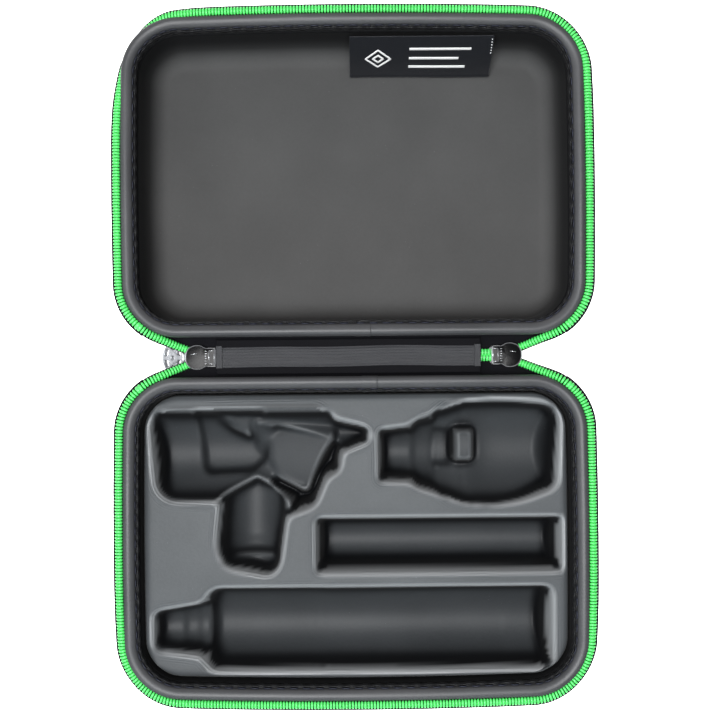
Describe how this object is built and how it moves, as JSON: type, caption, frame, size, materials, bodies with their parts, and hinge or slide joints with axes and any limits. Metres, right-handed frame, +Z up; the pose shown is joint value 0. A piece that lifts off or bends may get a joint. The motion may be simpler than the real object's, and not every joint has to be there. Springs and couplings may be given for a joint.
{
  "type": "moulded zip case",
  "caption": "Open moulded hard-shell zip case with a recessed lid and an insert with shaped pockets for a diagnostic set.",
  "frame": {"origin": "on the resting surface, under the middle of the hinge, with the case lying open", "axes": "+X along the hinge, +Y from the base half towards the lid half, +Z up out of both halves"},
  "size_m": [0.197, 0.2874, 0.0338],
  "materials": {
    "outer_fabric": "matt, fine weave",
    "foam": "moulded foam",
    "lining": "smooth jersey, slight sheen",
    "binding": "smooth turned binding, slight sheen",
    "thread": "polyester thread",
    "zip_tape": "woven tape",
    "zip_coil": "satin nylon coil",
    "insert_cover": "smooth jersey over foam, slight sheen",
    "label": "woven satin",
    "label_mark": "woven",
    "hinge_fabric": "ribbed nylon",
    "slider": "glossy black enamel",
    "pull": "satin silver grey"
  },
  "bodies": {
    "base": {"base_outer_skin": "outer_fabric", "base_foam_core": "foam", "base_lining": "lining", "base_binding": "binding", "base_stitching": "thread", "base_zip_tape": "zip_tape", "base_zip_coil": "zip_coil", "base_flank": "hinge_fabric", "base_zip_leg_left": "zip_coil", "base_zip_leg_right": "zip_coil", "insert_foam": "foam", "insert_cover": "insert_cover"},
    "hinge": {"hinge_gusset": "hinge_fabric", "hinge_band": "hinge_fabric", "hinge_hem_left": "hinge_fabric", "hinge_hem_right": "hinge_fabric", "chain_stub": "zip_coil"},
    "lid": {"lid_outer_skin": "outer_fabric", "lid_foam_core": "foam", "lid_lining": "lining", "lid_binding": "binding", "lid_stitching": "thread", "lid_zip_tape": "zip_tape", "lid_zip_coil": "zip_coil", "lid_flank": "hinge_fabric", "lid_zip_leg_left": "zip_coil", "lid_zip_leg_right": "zip_coil"},
    "label": {"label_tab": "label", "label_mark": "label_mark"},
    "slider_left": {"slider_left_body": "slider", "slider_left_crown": "slider"},
    "slider_right": {"slider_right_body": "slider", "slider_right_crown": "slider"},
    "pull_left": {"pull_left_link": "pull", "pull_left_medallion": "pull"},
    "pull_right": {"pull_right_link": "pull", "pull_right_medallion": "pull"}
  },
  "joints": [
    {"name": "base_fold", "type": "hinge", "parent": "base", "child": "hinge", "pos_m": [0, -0.0072, 0.0268], "axis": [1, 0, 0], "range_deg": [0, 90], "deforming": ["base_zip_leg_left", "base_zip_leg_right"]},
    {"name": "lid_fold", "type": "hinge", "parent": "hinge", "child": "lid", "pos_m": [0, 0.0072, 0.0268], "axis": [1, 0, 0], "range_deg": [0, 90], "deforming": ["lid_zip_leg_left", "lid_zip_leg_right"]},
    {"name": "label_lift", "type": "hinge", "parent": "lid", "child": "label", "pos_m": [0.029, 0.1322, 0.0275], "axis": [-1, 0, 0], "range_deg": [0, 60]},
    {"name": "slider_left_slide", "type": "slide", "parent": "hinge", "child": "slider_left", "axis": [-1, 0, 0], "range_m": [0, 0.006]},
    {"name": "slider_right_slide", "type": "slide", "parent": "hinge", "child": "slider_right", "axis": [1, 0, 0], "range_m": [-0.004, 0.006]},
    {"name": "pull_left_swing", "type": "hinge", "parent": "slider_left", "child": "pull_left", "pos_m": [-0.0652, 0, 0.0226], "axis": [0, 1, 0], "range_deg": [-125, 35]},
    {"name": "pull_right_swing", "type": "hinge", "parent": "slider_right", "child": "pull_right", "pos_m": [0.0644, 0, 0.0226], "axis": [0, 1, 0], "range_deg": [-80, 80]}
  ],
  "couplings": [
    {"joint": "base_fold", "follows": "lid_fold", "ratio": 1}
  ]
}
